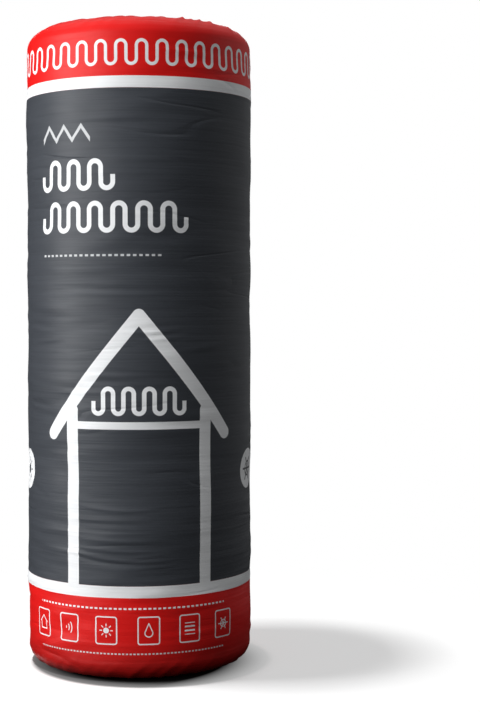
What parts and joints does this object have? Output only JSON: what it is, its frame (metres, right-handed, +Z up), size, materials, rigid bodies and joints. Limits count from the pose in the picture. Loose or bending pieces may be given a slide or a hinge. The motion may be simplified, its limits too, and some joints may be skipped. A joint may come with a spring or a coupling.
{
  "type": "insulation roll",
  "caption": "Glass wool insulation quilt wound into a tight upright roll and held compressed by a printed film sleeve that is gathered over both ends.",
  "frame": {"origin": "middle of the base, on the floor", "axes": "+Z up along the roll's axis, -Y towards the printed front, the film's lap seam at +Y"},
  "size_m": [0.4039, 0.4043, 1.1431],
  "materials": {
    "glass_wool": "soft fibrous yellow wool",
    "printed_film": "satin polythene film, charcoal with red end bands and white stripes"
  },
  "bodies": {
    "root": {"wool_roll": "glass_wool", "film_sleeve": "printed_film"}
  },
  "joints": []
}
